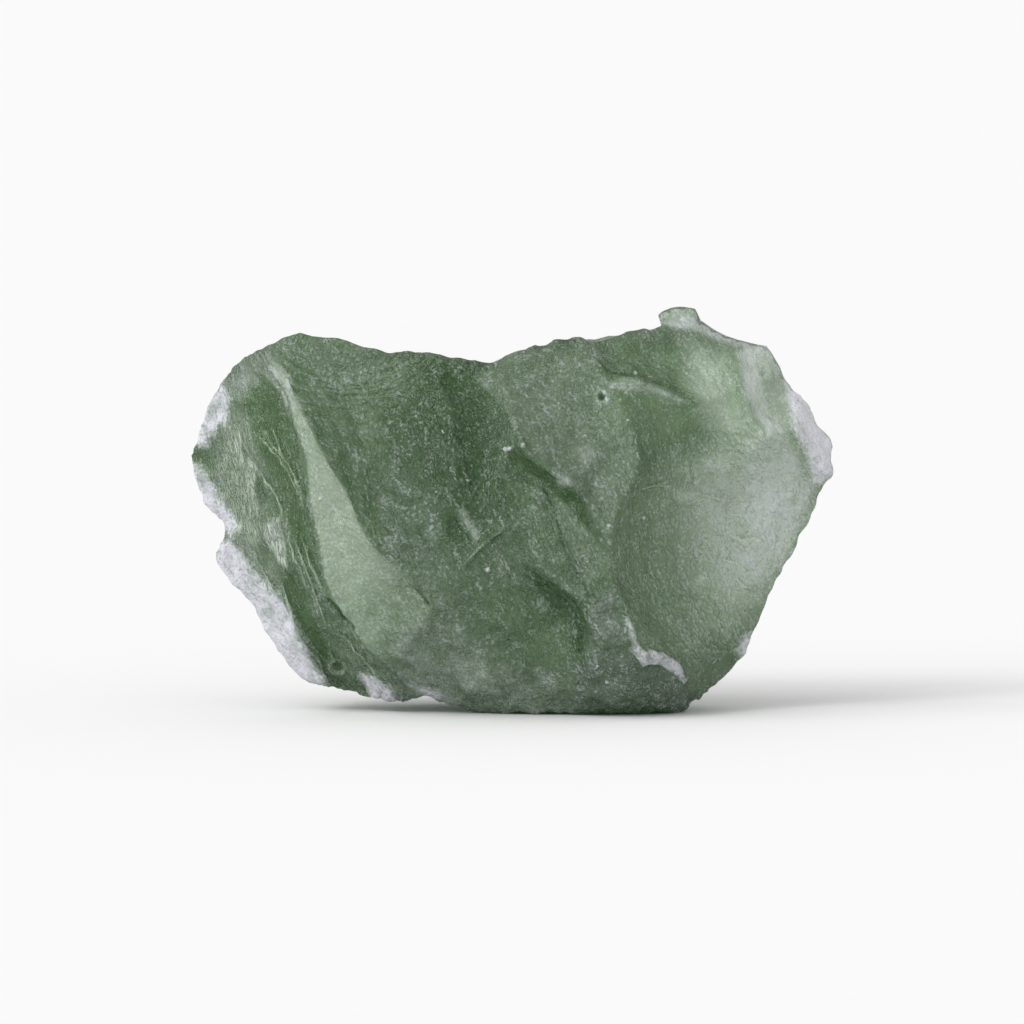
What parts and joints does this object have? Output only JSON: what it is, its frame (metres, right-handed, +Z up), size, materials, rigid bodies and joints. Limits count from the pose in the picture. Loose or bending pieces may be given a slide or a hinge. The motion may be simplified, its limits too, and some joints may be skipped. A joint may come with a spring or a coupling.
{
  "type": "moldavite",
  "caption": "Raw moldavite: a broken, etched lump of translucent green natural glass with chalky white patches, standing on a small flat spot.",
  "frame": {"origin": "the middle of the stone's box, at the height of the flat spot that it stands on", "axes": "+X along the stone, to the right when its big fracture face is looked at; -Y out of that face; +Z up"},
  "size_m": [0.0338, 0.015, 0.0213],
  "materials": {
    "green_glass": "satin"
  },
  "bodies": {
    "root": {"moldavite": "green_glass"}
  },
  "joints": []
}
